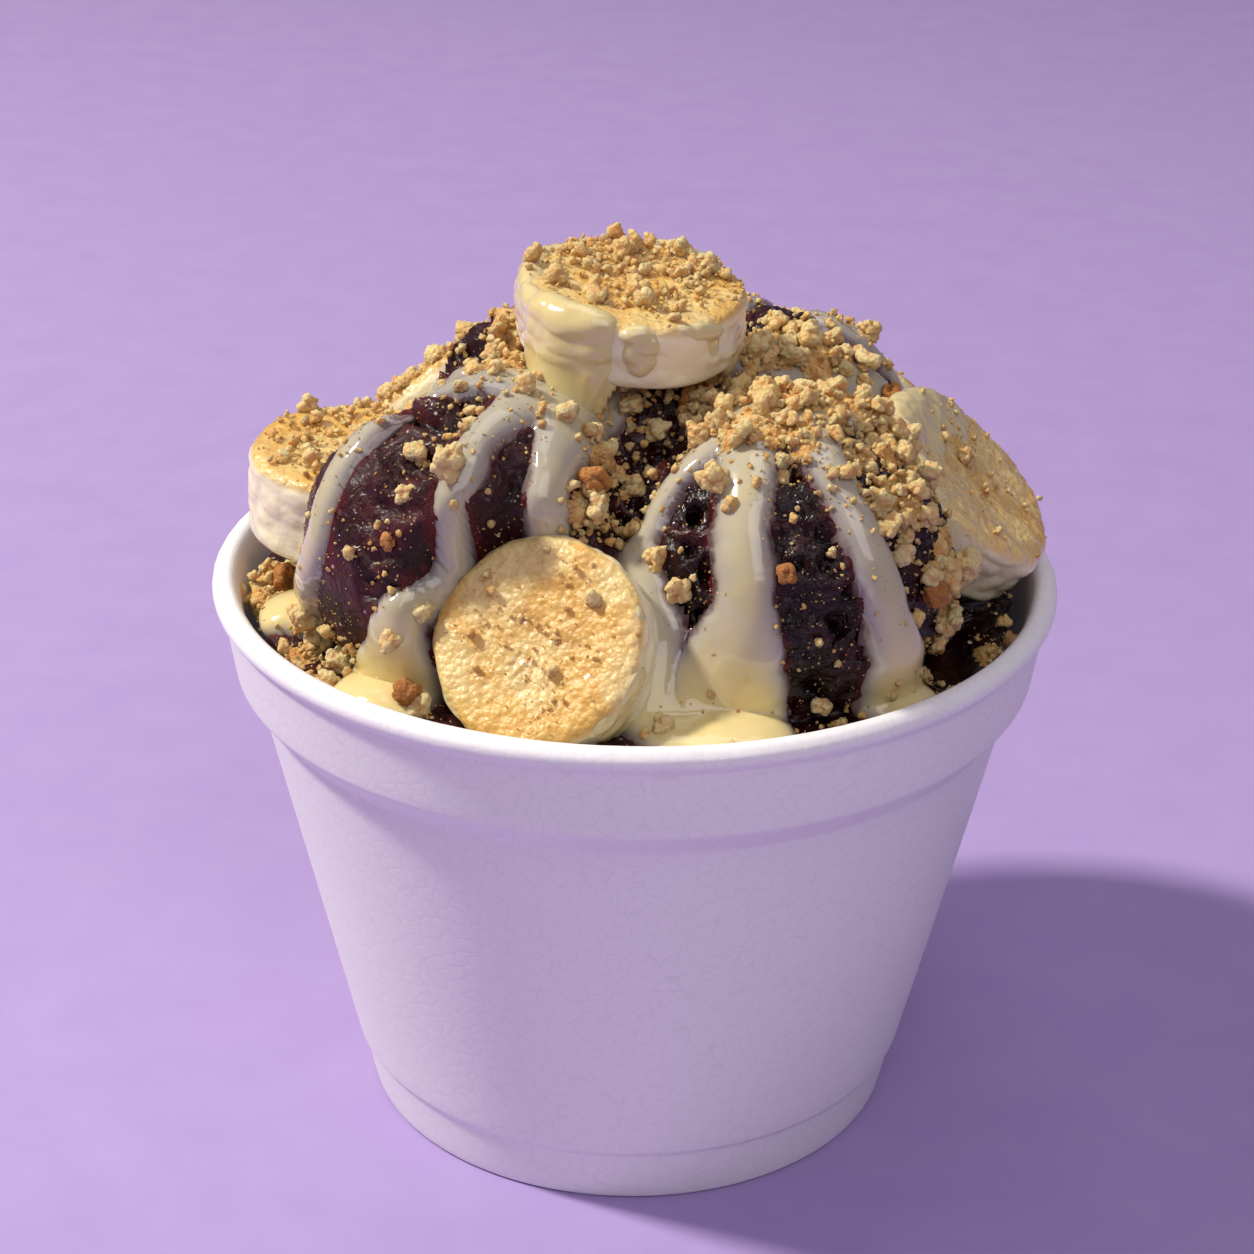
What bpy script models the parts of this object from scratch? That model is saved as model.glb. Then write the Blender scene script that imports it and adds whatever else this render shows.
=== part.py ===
"""An acai bowl: a foam cup heaped with scoops of frozen acai, with thick banana slices on top.

Metres, +Z up. The origin is the centre of the ring that the cup stands on. -Y is the serving
side, where the front slice leans. Nothing moves: the acai fills the cup, and every slice is
pressed a little way into the soft acai, which is cut back round it by a hair's gap.
"""

import math

import bmesh
import bpy
from mathutils import Matrix, Vector, noise

MM = 0.001

# The cup: moulded polystyrene foam, with a band under its lip that a lid snaps over.
CUP_HEIGHT = 79.5 * MM
LIP_RADIUS = 57.5 * MM
LIP_DROP = 2.6 * MM
BAND_TOP_RADIUS = 56.4 * MM
BAND_BOTTOM_RADIUS = 54.8 * MM
BAND_BOTTOM_HEIGHT = 66.2 * MM
SHOULDER_RADIUS = 51.8 * MM
SHOULDER_HEIGHT = 62.6 * MM
FOOT_RADIUS = 39.4 * MM
FOOT_HEIGHT = 8.3 * MM
FOOT_STEP = 0.3 * MM
BASE_RADIUS = 37.3 * MM
BASE_ROUNDING = 1.0 * MM
RECESS_RADIUS = 32.5 * MM
RECESS_DEPTH = 2.0 * MM
WALL = 2.7 * MM
LIP_WIDTH = 3.2 * MM
FLOOR_TOP = 6.0 * MM
CUP_SIDES = 60

# The acai: a plug that fills the cup, and soft scoops heaped on it.
GAP = 0.3 * MM
FILL_HEIGHT = 76.0 * MM
FILL_SIDES = 60
CORE = (Vector((0.0, 0.0, 66.0)) * MM, Vector((45.0, 45.0, 38.0)) * MM)
SCOOPS = {
    "left": (Vector((-20.8, -17.4, 89.2)) * MM, 22.4 * MM),
    "right": (Vector((19.5, -22.0, 87.5)) * MM, 21.5 * MM),
    "crown": (Vector((0.0, 2.0, 91.0)) * MM, 22.0 * MM),
    "ridge": (Vector((-16.0, 5.0, 95.0)) * MM, 17.5 * MM),
    "back_right": (Vector((17.0, 16.0, 88.0)) * MM, 21.5 * MM),
    "back_left": (Vector((-18.0, 17.0, 82.0)) * MM, 19.0 * MM),
}
SCOOP_SUBDIVISIONS = 3
RIDGE_DEPTH = 0.9 * MM
RIDGE_SPACING = 9.0 * MM

# The one place where the cup isn't full: a pocket between the heap and the wall, at the right.
POCKET_CENTRE = Vector((44.0, -20.0, 77.0)) * MM
POCKET_RADII = Vector((9.0, 11.0, 10.0)) * MM

# Banana slices: middle of the cut face, compass angle and tilt of its normal in degrees,
# radius and thickness. Angle 0 is +X, 90 is +Y, and tilt 90 is straight up.
SLICES = {
    "banana_top": ((-0.6, -4.0, 120.3), -45.0, 83.0, 15.1, 8.5),
    "banana_front": ((-12.0, -42.5, 87.0), -110.0, 38.0, 14.0, 10.0),
    "banana_right": ((45.4, -0.5, 92.8), -16.0, 47.0, 15.0, 9.5),
    "banana_left": ((-38.0, -0.7, 95.3), -60.0, 85.0, 14.0, 12.0),
    "banana_back_left": ((-30.5, 27.0, 96.0), 160.0, 50.0, 12.8, 7.2),
    "banana_back": ((-2.0, 41.5, 97.0), 92.0, 46.0, 14.5, 9.0),
    "banana_back_right": ((32.0, 35.0, 92.5), 48.0, 42.0, 14.0, 8.0),
}
SLICE_SIDES = 32
SLICE_ROUNDING = 1.6 * MM
BANANA_RIBS = 5
RIB_DEPTH = 0.025
BED_CLEARANCE = 14.0 * MM


def clear_scene():
    """Starts from an empty scene."""
    for obj in list(bpy.data.objects):
        bpy.data.objects.remove(obj, do_unlink=True)


def collection(name):
    """A new collection in the scene."""
    made = bpy.data.collections.new(name)
    bpy.context.scene.collection.children.link(made)
    return made


def principled(name, colour, roughness, metallic=0.0):
    """A plain Principled material: linear colour, roughness and metallic."""
    material = bpy.data.materials.new(name)
    material.use_nodes = True
    shader = material.node_tree.nodes["Principled BSDF"]
    shader.inputs["Base Color"].default_value = (*colour, 1.0)
    shader.inputs["Roughness"].default_value = roughness
    shader.inputs["Metallic"].default_value = metallic
    return material


def linked(name, mesh, group, material=None):
    """An object for a mesh, in a collection, with a material."""
    obj = bpy.data.objects.new(name, mesh)
    group.objects.link(obj)
    if material:
        mesh.materials.append(material)
    return obj


def helper(obj):
    """Marks a cutter or a piece that is joined into another, which isn't a part itself."""
    obj.hide_render = True
    obj.display_type = "WIRE"
    return obj


def arc(centre, radius, start, end, steps):
    """Points on an arc in the profile plane, as (distance from the axis, height)."""
    angles = [math.radians(start + (end - start) * i / steps) for i in range(steps + 1)]
    return [
        (centre[0] + radius * math.cos(a), centre[1] + radius * math.sin(a)) for a in angles
    ]


def turned(name, profile, sides, group, material=None):
    """A turned solid: a profile that starts and ends on the axis and runs down its outer side."""
    mesh = bpy.data.meshes.new(name)
    points = [(x, 0.0, z) for x, z in profile]
    mesh.from_pydata(points, [(i, i + 1) for i in range(len(points) - 1)], [])
    obj = linked(name, mesh, group, material)
    screw = obj.modifiers.new("turn", "SCREW")
    screw.steps = sides
    screw.render_steps = sides
    screw.use_merge_vertices = True
    screw.merge_threshold = 0.00001
    screw.use_smooth_shade = True
    return obj


def inner_wall():
    """The cup's inside, from the floor's edge up to the lip, as (radius, height)."""
    return [
        (BASE_RADIUS - WALL, FLOOR_TOP),
        (SHOULDER_RADIUS - WALL, SHOULDER_HEIGHT),
        (BAND_BOTTOM_RADIUS - WALL, BAND_BOTTOM_HEIGHT + 0.5 * MM),
        (LIP_RADIUS - LIP_WIDTH - 0.5 * MM, CUP_HEIGHT - LIP_DROP),
    ]


def make_cup(group, material):
    """The cup: floor, inner wall, rounded lip, lid band, shoulder, tapered body and foot ring."""
    floor_edge, *wall = inner_wall()
    lip_middle = (LIP_RADIUS - LIP_WIDTH / 2, CUP_HEIGHT - 1.3 * MM)
    lip = arc(lip_middle, 1.3 * MM, 170, -10, 6)
    lip_squash = (LIP_WIDTH / 2) / (1.3 * MM)
    lip = [(lip_middle[0] + (x - lip_middle[0]) * lip_squash, z) for x, z in lip]
    heel = (BASE_RADIUS - BASE_ROUNDING, BASE_ROUNDING)
    profile = [(0.0, FLOOR_TOP), (floor_edge[0] - 1.5 * MM, FLOOR_TOP)]
    profile += [(floor_edge[0], floor_edge[1] + 1.5 * MM), *wall]
    profile += lip
    profile += [
        (LIP_RADIUS - 0.2 * MM, CUP_HEIGHT - LIP_DROP),
        (BAND_TOP_RADIUS, CUP_HEIGHT - LIP_DROP - 0.6 * MM),
        (BAND_BOTTOM_RADIUS, BAND_BOTTOM_HEIGHT),
        (SHOULDER_RADIUS, SHOULDER_HEIGHT),
        (FOOT_RADIUS + FOOT_STEP, FOOT_HEIGHT + 0.4 * MM),
        (FOOT_RADIUS - FOOT_STEP, FOOT_HEIGHT),
    ]
    profile += arc(heel, BASE_ROUNDING, 0, -90, 3)
    profile += [
        (RECESS_RADIUS, 0.0),
        (RECESS_RADIUS - 1.0 * MM, RECESS_DEPTH),
        (0.0, RECESS_DEPTH),
    ]
    return turned("cup", profile, CUP_SIDES, group, material)


def make_fill(group):
    """The acai inside the cup, a hair clear of the wall, with a slightly domed top."""
    floor_edge, shoulder, band, _ = inner_wall()
    top_share = (FILL_HEIGHT - band[1]) / (CUP_HEIGHT - LIP_DROP - band[1])
    top_radius = band[0] + (LIP_RADIUS - LIP_WIDTH - 0.5 * MM - band[0]) * top_share
    profile = [
        (0.0, FILL_HEIGHT + 2.0 * MM),
        (top_radius - 8.0 * MM, FILL_HEIGHT + 1.0 * MM),
        (top_radius - GAP, FILL_HEIGHT),
        (band[0] - GAP, band[1]),
        (shoulder[0] - GAP, shoulder[1]),
        (floor_edge[0] - GAP, floor_edge[1] + 1.5 * MM + GAP),
        (floor_edge[0] - 1.5 * MM, floor_edge[1] + GAP),
        (0.0, floor_edge[1] + GAP),
    ]
    return turned("acai", profile, FILL_SIDES, group)


def ridge(point):
    """How far the scoop's drag has raised or torn the surface at a point, in metres."""
    place = point / RIDGE_SPACING
    coarse = noise.fractal(place, 1.0, 2.1, 2)
    torn = abs(noise.noise(place * 1.7 + Vector((7.0, 3.0, 1.0))))
    return RIDGE_DEPTH * (coarse - 0.8 * torn)


def make_lump(name, centre, radii, subdivisions, group):
    """A scoop of acai: a ball with the soft ridges that a scoop leaves."""
    mesh = bpy.data.meshes.new(name)
    shape = bmesh.new()
    bmesh.ops.create_icosphere(shape, subdivisions=subdivisions, radius=1.0)
    for vertex in shape.verts:
        outward = vertex.co.normalized()
        surface = Vector(outward[i] * radii[i] for i in range(3))
        vertex.co = surface + outward * ridge(centre + surface)
    for face in shape.faces:
        face.smooth = True
    shape.to_mesh(mesh)
    shape.free()
    obj = linked(name, mesh, group)
    obj.location = centre
    return helper(obj)


def facing(angle, tilt):
    """The unit vector at a compass angle and a tilt above the horizon, in degrees."""
    a, t = math.radians(angle), math.radians(tilt)
    return Vector((math.cos(a) * math.cos(t), math.sin(a) * math.cos(t), math.sin(t)))


def slice_mesh(name, radius, thickness, grow, above):
    """A thick coin of banana with five blunt ribs, its cut face at height 0.

    A bed's cutter is the same coin grown all round, and carried on above the face.
    """
    mesh = bpy.data.meshes.new(name)
    shape = bmesh.new()
    depth = thickness + grow + above
    bmesh.ops.create_cone(
        shape,
        cap_ends=True,
        segments=SLICE_SIDES,
        radius1=radius,
        radius2=radius,
        depth=depth,
        matrix=Matrix.Translation((0.0, 0.0, above - depth / 2)),
    )
    for vertex in shape.verts:
        around = math.atan2(vertex.co.y, vertex.co.x)
        rib = 1.0 - RIB_DEPTH * 0.5 * (1.0 - math.cos(BANANA_RIBS * around))
        reach = rib + grow / radius
        vertex.co.x *= reach
        vertex.co.y *= reach
    for face in shape.faces:
        face.smooth = len(face.verts) == 4
    shape.to_mesh(mesh)
    shape.free()
    return mesh


def placed_slice(name, spec, group, material=None, grow=0.0, above=0.0):
    """A banana slice with its rounded cut edges, turned to face its way."""
    middle, angle, tilt, radius, thickness = spec
    mesh = slice_mesh(name, radius * MM, thickness * MM, grow, above)
    obj = linked(name, mesh, group, material)
    obj.location = Vector(middle) * MM
    obj.rotation_mode = "QUATERNION"
    obj.rotation_quaternion = facing(angle, tilt).to_track_quat("Z", "Y")
    bevel = obj.modifiers.new("soft_edge", "BEVEL")
    bevel.width = SLICE_ROUNDING
    bevel.segments = 2
    bevel.limit_method = "ANGLE"
    bevel.angle_limit = math.radians(50)
    return obj


def add_boolean(obj, other, operation):
    """A Boolean with Blender's exact solver."""
    modifier = obj.modifiers.new(other.name, "BOOLEAN")
    modifier.operation = operation
    modifier.object = other
    modifier.solver = "EXACT"


def make_acai(group, cutters, material):
    """The fill and its scoops as one soft body, less the pocket and the slices' beds."""
    acai = make_fill(group)
    acai.data.materials.append(material)
    lumps = [make_lump("core", *CORE, SCOOP_SUBDIVISIONS, cutters)]
    for name, (centre, radius) in SCOOPS.items():
        radii = Vector((radius, radius, radius))
        lumps.append(make_lump("scoop_" + name, centre, radii, SCOOP_SUBDIVISIONS, cutters))
    for lump in lumps:
        add_boolean(acai, lump, "UNION")
    pocket = make_lump("pocket", POCKET_CENTRE, POCKET_RADII, 2, cutters)
    add_boolean(acai, pocket, "DIFFERENCE")
    for name, spec in SLICES.items():
        bed = placed_slice("bed_" + name, spec, cutters, grow=GAP, above=BED_CLEARANCE)
        add_boolean(acai, helper(bed), "DIFFERENCE")
    return acai


def main():
    clear_scene()
    parts = collection("acai_bowl")
    cutters = collection("cutters")
    foam = principled("polystyrene_foam", (0.88, 0.87, 0.89), 0.6)
    berry = principled("frozen_acai", (0.045, 0.012, 0.02), 0.35)
    banana = principled("banana_flesh", (0.86, 0.72, 0.42), 0.45)
    make_cup(parts, foam)
    make_acai(parts, cutters, berry)
    for name, spec in SLICES.items():
        placed_slice(name, spec, parts, banana)


main()
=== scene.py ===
# %% [markdown]
# # An acai bowl
#
# A white foam cup is heaped with scoops of frozen acai. Condensed milk has been poured over
# the heap, banana slices are pressed into it, and cookie crumbs and roasted nuggets are
# scattered on top. The CAD model gives the sizes, and this lesson gives every piece its real
# surface. All the shapes are worked out in millimetres with numpy and put into metre meshes.

import math

import bpy
import numpy as np
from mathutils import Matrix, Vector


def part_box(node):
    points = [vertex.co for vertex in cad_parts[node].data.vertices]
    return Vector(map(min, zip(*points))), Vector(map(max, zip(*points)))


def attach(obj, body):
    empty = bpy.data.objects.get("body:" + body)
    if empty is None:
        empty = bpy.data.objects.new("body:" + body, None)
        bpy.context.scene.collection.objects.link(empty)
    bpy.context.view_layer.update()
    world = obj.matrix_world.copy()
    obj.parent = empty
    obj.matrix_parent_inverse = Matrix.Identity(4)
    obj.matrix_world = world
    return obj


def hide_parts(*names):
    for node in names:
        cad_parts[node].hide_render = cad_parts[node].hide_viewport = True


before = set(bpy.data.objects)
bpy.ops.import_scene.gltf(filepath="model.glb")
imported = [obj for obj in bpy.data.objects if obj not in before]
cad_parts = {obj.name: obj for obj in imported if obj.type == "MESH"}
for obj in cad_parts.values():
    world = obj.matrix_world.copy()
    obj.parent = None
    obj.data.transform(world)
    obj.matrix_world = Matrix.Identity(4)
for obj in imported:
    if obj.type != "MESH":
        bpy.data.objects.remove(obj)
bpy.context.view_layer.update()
MM = 0.001

# %% [markdown]
# ## Repeatable unevenness
#
# Food is uneven everywhere, so most shapes here need noise. Blender's texture nodes can't
# move vertices in numpy, so two small fields are written out. Both hash whole-number places
# to numbers, so they give the same bowl every time.

# %% Smooth noise and cells
def hash01(cell, salt=0):
    """Scrambles whole-number places (..., 3) into numbers from 0 to 1, always the same ones."""
    mixed = (cell[..., 0] * 73856093) ^ (cell[..., 1] * 19349663) ^ (cell[..., 2] * 83492791)
    mixed = (mixed ^ (salt * 2654435761)) & 0xFFFFFFFF
    mixed = ((mixed ^ (mixed >> 15)) * 1274126177) & 0xFFFFFFFF
    mixed = ((mixed ^ (mixed >> 13)) * 1103515245) & 0xFFFFFFFF
    return (mixed ^ (mixed >> 16)) / 4294967295.0


def noise(points, size, salt=0):
    """Random values at the corners of cubes of that size, blended smoothly between: -1 to 1."""
    place = np.asarray(points, float) / size
    corner = np.floor(place).astype(np.int64)
    part = place - corner
    part = part**3 * (part * (part * 6 - 15) + 10)
    total = 0.0
    for step in np.ndindex(2, 2, 2):
        weight = np.prod(np.where(np.array(step) == 1, part, 1 - part), axis=-1)
        total = total + weight * hash01(corner + np.array(step), salt)
    return 2 * total - 1


def fractal(points, size, salt=0, octaves=3):
    """Sums noise at halving sizes and halving strengths."""
    return sum(noise(points, size / 2**i, salt + i) / 2**i for i in range(octaves))


def cells(points, size, salt=0):
    """One random centre per cube: the distance to the nearest in cell sizes, and its number."""
    place = np.asarray(points, float) / size
    corner = np.floor(place).astype(np.int64)
    nearest = np.full(place.shape[:-1], 9.0)
    number = np.zeros(place.shape[:-1])
    for step in np.ndindex(3, 3, 3):
        cube = corner + np.array(step) - 1
        centre = cube + np.stack([hash01(cube, salt + k) for k in (1, 2, 3)], -1)
        far = np.linalg.norm(place - centre, axis=-1)
        closer = far < nearest
        nearest = np.where(closer, far, nearest)
        number = np.where(closer, hash01(cube, salt + 4), number)
    return nearest, number


def smoothstep(low, high, value):
    """0 below low, 1 above high, and an S-shaped ramp between."""
    t = np.clip((value - low) / (high - low), 0, 1)
    return t * t * (3 - 2 * t)


def soft_max(a, b, k):
    """The larger of two heights, with the crease between them rounded over about k."""
    mix = np.clip(0.5 + 0.5 * (a - b) / k, 0, 1)
    return b + (a - b) * mix + k * mix * (1 - mix)


def unit(vectors):
    """Vectors scaled to length 1."""
    return vectors / np.maximum(np.linalg.norm(vectors, axis=-1, keepdims=True), 1e-9)


# %% [markdown]
# ## Meshes and materials
#
# Every surface is a grid of points. One function turns rows and columns into quads, and one
# puts arrays straight into a mesh, with any per-point values its material reads.

# %% From arrays to a piece
def grid_faces(rows, columns, wrap=True):
    """The quads of a grid of points, row after row; wrap joins the last column to the first."""
    r, c = np.meshgrid(np.arange(rows - 1), np.arange(columns if wrap else columns - 1), indexing="ij")
    ahead = (c + 1) % columns
    quads = np.stack(
        [r * columns + c, (r + 1) * columns + c, (r + 1) * columns + ahead, r * columns + ahead], -1
    )
    return quads.reshape(-1, 4)


def piece(name, points, faces, material, values=None, smooth=True):
    """A mesh piece from points in millimetres and faces, riding on the bowl."""
    mesh = bpy.data.meshes.new(name)
    mesh.vertices.add(len(points))
    mesh.vertices.foreach_set("co", np.asarray(points, np.float32).ravel() * MM)
    faces = [np.asarray(f) for f in (faces if isinstance(faces, list) else [faces])]
    corners = np.concatenate([f.ravel() for f in faces])
    counts = np.concatenate([np.full(len(f), f.shape[1]) for f in faces])
    mesh.loops.add(len(corners))
    mesh.loops.foreach_set("vertex_index", corners.astype(np.int32))
    mesh.polygons.add(len(counts))
    mesh.polygons.foreach_set("loop_start", (np.cumsum(counts) - counts).astype(np.int32))
    mesh.polygons.foreach_set("use_smooth", np.full(len(counts), smooth))
    for label, numbers in (values or {}).items():
        layer = mesh.attributes.new(label, "FLOAT", "POINT")
        layer.data.foreach_set("value", np.asarray(numbers, np.float32).ravel())
    mesh.update(calc_edges=True)
    mesh.validate()
    obj = bpy.data.objects.new(name, mesh)
    bpy.context.scene.collection.objects.link(obj)
    mesh.materials.append(material)
    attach(obj, "root")
    print(name, len(points), "points,", int((counts - 2).sum()), "triangles")
    return obj


def capped(points, first_end, last_end):
    """Points and faces of a ring grid that two fans of triangles close, each on a middle point."""
    rows, columns = points.shape[:2]
    first_ring = np.arange(columns)
    last_ring = (rows - 1) * columns + first_ring
    first_middle, last_middle = rows * columns, rows * columns + 1
    first_fan = np.stack([np.full(columns, first_middle), first_ring, np.roll(first_ring, -1)], -1)
    last_fan = np.stack([last_ring, np.full(columns, last_middle), np.roll(last_ring, -1)], -1)
    faces = [grid_faces(rows, columns), first_fan, last_fan]
    return np.vstack([points.reshape(-1, 3), [first_end, last_end]]), faces


# %% From a hex colour and a node's settings to a material
def srgb(hex_colour):
    """A hex colour as linear red, green, blue and alpha."""
    parts = [int(hex_colour[i : i + 2], 16) / 255 for i in (1, 3, 5)]
    linear = [p / 12.92 if p <= 0.04045 else ((p + 0.055) / 1.055) ** 2.4 for p in parts]
    return (*linear, 1.0)


def new_material(name):
    """An empty node material, and its Principled shader joined to the output."""
    material = bpy.data.materials.new(name)
    material.use_nodes = True
    return material, material.node_tree.nodes["Principled BSDF"]


def add(material, kind, links=None, **settings):
    """Adds one node: settings are its options, links its inputs by name or number."""
    new = material.node_tree.nodes.new("ShaderNode" + kind)
    stops = settings.pop("stops", None)
    for option, value in settings.items():
        setattr(new, option, value)
    for place, colour in (stops or [])[2:]:
        new.color_ramp.elements.new(place)
    for element, (place, colour) in zip(new.color_ramp.elements if stops else [], stops or []):
        element.position = place
        element.color = srgb(colour)
    join(material, new, links or {})
    return new


def join(material, target, links):
    """Sets a node's inputs, from numbers and colours, or from another node's output."""
    for socket, value in links.items():
        if isinstance(value, bpy.types.NodeSocket):
            material.node_tree.links.new(value, target.inputs[socket])
        else:
            target.inputs[socket].default_value = value


# %% [markdown]
# ## The camera and the light
#
# The camera looks down about 25 degrees with a long lens. The key light is to the left, half
# way up, and small enough for a shadow with an edge. Two large soft lights fill the front and
# the top, and the pale lilac table throws its colour back up on the white foam.

# %% Camera
camera_data = bpy.data.cameras.new("camera")
camera_data.sensor_width = 36.0
camera_data.lens = 81.93
camera_data.shift_x = -0.00577
camera_data.clip_start = 0.01
camera_data.clip_end = 20.0
camera = bpy.data.objects.new("camera", camera_data)
bpy.context.scene.collection.objects.link(camera)
CAMERA_TILT = math.radians(25.46)
CAMERA_AWAY = 395.41 * MM
CAMERA_AIM = 68.88 * MM
camera.location = (
    0.0,
    -CAMERA_AWAY * math.cos(CAMERA_TILT),
    CAMERA_AIM + CAMERA_AWAY * math.sin(CAMERA_TILT),
)
camera.rotation_mode = "XYZ"
camera.rotation_euler = (math.radians(90) - CAMERA_TILT, 0.0, 0.0)
camera.rotation_euler.rotate_axis("Z", math.radians(0.88))
bpy.context.scene.camera = camera
print("camera at", tuple(round(v, 4) for v in camera.location))


# %% Lights, table and surroundings
def lamp(name, place, aim, size, watts, colour):
    """A square area light at a place in metres, turned to its aim."""
    data = bpy.data.lights.new(name, "AREA")
    data.size = size
    data.energy = watts
    data.color = srgb(colour)[:3]
    obj = bpy.data.objects.new(name, data)
    bpy.context.scene.collection.objects.link(obj)
    obj.location = place
    way = np.array(aim) - np.array(place)
    obj.rotation_mode = "XYZ"
    flat = math.hypot(way[0], way[1])
    obj.rotation_euler = (
        math.pi / 2 + math.atan2(way[2], flat), 0.0, math.atan2(way[1], way[0]) - math.pi / 2
    )
    return obj


KEY_ANGLE = math.radians(175)
KEY_HEIGHT = math.radians(50)
KEY_AWAY = 1.5
key_place = (
    KEY_AWAY * math.cos(KEY_HEIGHT) * math.cos(KEY_ANGLE),
    KEY_AWAY * math.cos(KEY_HEIGHT) * math.sin(KEY_ANGLE),
    KEY_AWAY * math.sin(KEY_HEIGHT),
)
lamp("key", key_place, (0, 0, 0.06), 0.14, 24.5, "#fff9ee")
lamp("fill", (0.35, -0.95, 1.1), (0, 0, 0.07), 1.1, 6.0, "#fbf8ff")
lamp("overhead", (0.1, 0.25, 1.25), (0, 0, 0.07), 0.7, 2.0, "#fdfbff")

world = bpy.data.worlds.new("surroundings")
world.use_nodes = True
bpy.context.scene.world = world
sky = world.node_tree.nodes["Background"]
sky.inputs["Color"].default_value = srgb("#d9cdea")
sky.inputs["Strength"].default_value = 0.24
bpy.context.scene.view_settings.view_transform = "Standard"

table_paint, shader = new_material("matt lilac paper")
grain = add(table_paint, "TexNoise", {"Scale": 900.0, "Detail": 3.0})
tint = add(table_paint, "ValToRGB", {"Fac": grain.outputs["Fac"]}, stops=[(0.3, "#a993c7"), (0.7, "#ad98ca")])
join(table_paint, shader, {"Base Color": tint.outputs["Color"], "Roughness": 0.85})

table_mesh = bpy.data.meshes.new("table")
TABLE = 6.0
table_mesh.from_pydata(
    [(-TABLE, -TABLE, 0), (TABLE, -TABLE, 0), (TABLE, TABLE, 0), (-TABLE, TABLE, 0)], [], [(0, 1, 2, 3)]
)
table = bpy.data.objects.new("table", table_mesh)
table_mesh.materials.append(table_paint)
bpy.context.scene.collection.objects.link(table)

# %% [markdown]
# ## The foam cup
#
# The real cup is steam-moulded from polystyrene beads, so its skin is a net of flattened
# bead edges about 2 mm across, with pinholes where three beads meet. A turned profile gives
# the lip, lid band, shoulder and foot, and it is carried round the axis on a fine grid so
# that the lip can wander by a few hundredths of a millimetre as moulded foam does.

# %% The cup's profile
def rounded(corners, radius, steps=5):
    """Swaps each inner corner of a line of points for a short curve of about that radius."""
    corners = np.array(corners, float)
    line = [corners[0]]
    for before, corner, after in zip(corners[:-2], corners[1:-1], corners[2:]):
        reach = min(radius, 0.45 * np.linalg.norm(before - corner), 0.45 * np.linalg.norm(after - corner))
        start = corner + unit(before - corner) * reach
        end = corner + unit(after - corner) * reach
        t = np.linspace(0, 1, steps)[:, None]
        line.extend((1 - t) ** 2 * start + 2 * t * (1 - t) * corner + t**2 * end)
    line.append(corners[-1])
    return np.array(line)


def spaced(line, step):
    """The same line with points no further apart than step."""
    pieces = []
    for start, end in zip(line[:-1], line[1:]):
        count = max(1, int(np.ceil(np.linalg.norm(end - start) / step)))
        pieces.append(start + (end - start) * np.linspace(0, 1, count, endpoint=False)[:, None])
    return np.vstack([*pieces, line[-1:]])


cup_low, cup_high = (np.array(corner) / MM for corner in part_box("cup"))
LIP = (cup_high[0] - cup_low[0]) / 2
TOP = cup_high[2]
FLOOR_INSIDE, FLOOR_UNDER = 6.0, 2.0
inside = [
    (0.3, FLOOR_INSIDE), (33.1, FLOOR_INSIDE), (34.7, 7.6), (49.1, 62.6), (52.1, 66.7),
    (53.8, TOP - 2.6)
]
lip = [
    (54.4, TOP - 0.7), (55.2, TOP), (56.5, TOP - 0.1), (LIP, TOP - 1.0), (LIP, TOP - 2.1),
    (LIP - 0.6, TOP - 2.9)
]
outside = [
    (56.3, TOP - 3.4), (54.8, 66.3), (51.9, 62.7), (51.7, 61.8), (39.75, 8.9), (39.15, 8.2), (37.5, 0.3)
]
under = [(36.9, 0.0), (32.5, 0.0), (31.5, FLOOR_UNDER), (0.3, FLOOR_UNDER)]
cup_line = spaced(rounded(inside + lip + outside + under, 0.5, 4), 1.9)
AROUND = 432
turn = np.linspace(0, 2 * np.pi, AROUND, endpoint=False)
print("cup profile has", len(cup_line), "points")

# %% Carry the profile round the axis
reach, height = np.meshgrid(
    cup_line[:, 0], turn, indexing="ij"
)[0], np.meshgrid(cup_line[:, 1], turn, indexing="ij")[0]
cup_points = np.stack([reach * np.cos(turn), reach * np.sin(turn), height], -1)
lip_share = smoothstep(TOP - 4, TOP - 0.5, height)
wander = 0.10 * noise(cup_points * [1, 1, 0.1], 5.0, 11) + 0.05 * noise(cup_points * [1, 1, 0.1], 1.8, 12)
swell = 0.10 * noise(cup_points, 22.0, 13) * smoothstep(3, 12, height)
outward = np.stack([np.cos(turn), np.sin(turn), np.zeros(AROUND)], -1)
cup_points = cup_points + outward * (swell * (1 - lip_share) - np.abs(wander) * lip_share)[..., None]
cup_points[..., 2] -= np.abs(wander) * lip_share
cup_all, cup_faces = capped(cup_points, [0, 0, FLOOR_INSIDE], [0, 0, FLOOR_UNDER])

foam, shader = new_material("moulded polystyrene foam")
place = add(foam, "TexCoord")
bead = add(
    foam, "TexVoronoi", {"Vector": place.outputs["Object"], "Scale": 1 / 0.0021},
    feature="DISTANCE_TO_EDGE"
)
seam = add(foam, "MapRange", {"Value": bead.outputs["Distance"], "From Max": 0.16})
hole = add(foam, "TexVoronoi", {"Vector": place.outputs["Object"], "Scale": 1 / 0.0031, "Randomness": 1.0})
pit = add(foam, "MapRange", {"Value": hole.outputs["Distance"], "From Min": 0.05, "From Max": 0.12})
skin = add(foam, "TexNoise", {"Vector": place.outputs["Object"], "Scale": 1 / 0.0009, "Detail": 2.0})
relief = add(foam, "Math", {0: seam.outputs[0], 1: pit.outputs[0]}, operation="MULTIPLY")
relief2 = add(foam, "Math", {0: skin.outputs["Fac"], 1: 0.5, 2: relief.outputs[0]}, operation="MULTIPLY_ADD")
dents = add(foam, "Bump", {"Height": relief2.outputs[0], "Strength": 0.22, "Distance": 0.00006})
shade = add(foam, "ValToRGB", {"Fac": relief.outputs[0]}, stops=[(0.0, "#ebe9e9"), (0.3, "#f3f1f1")])
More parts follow.
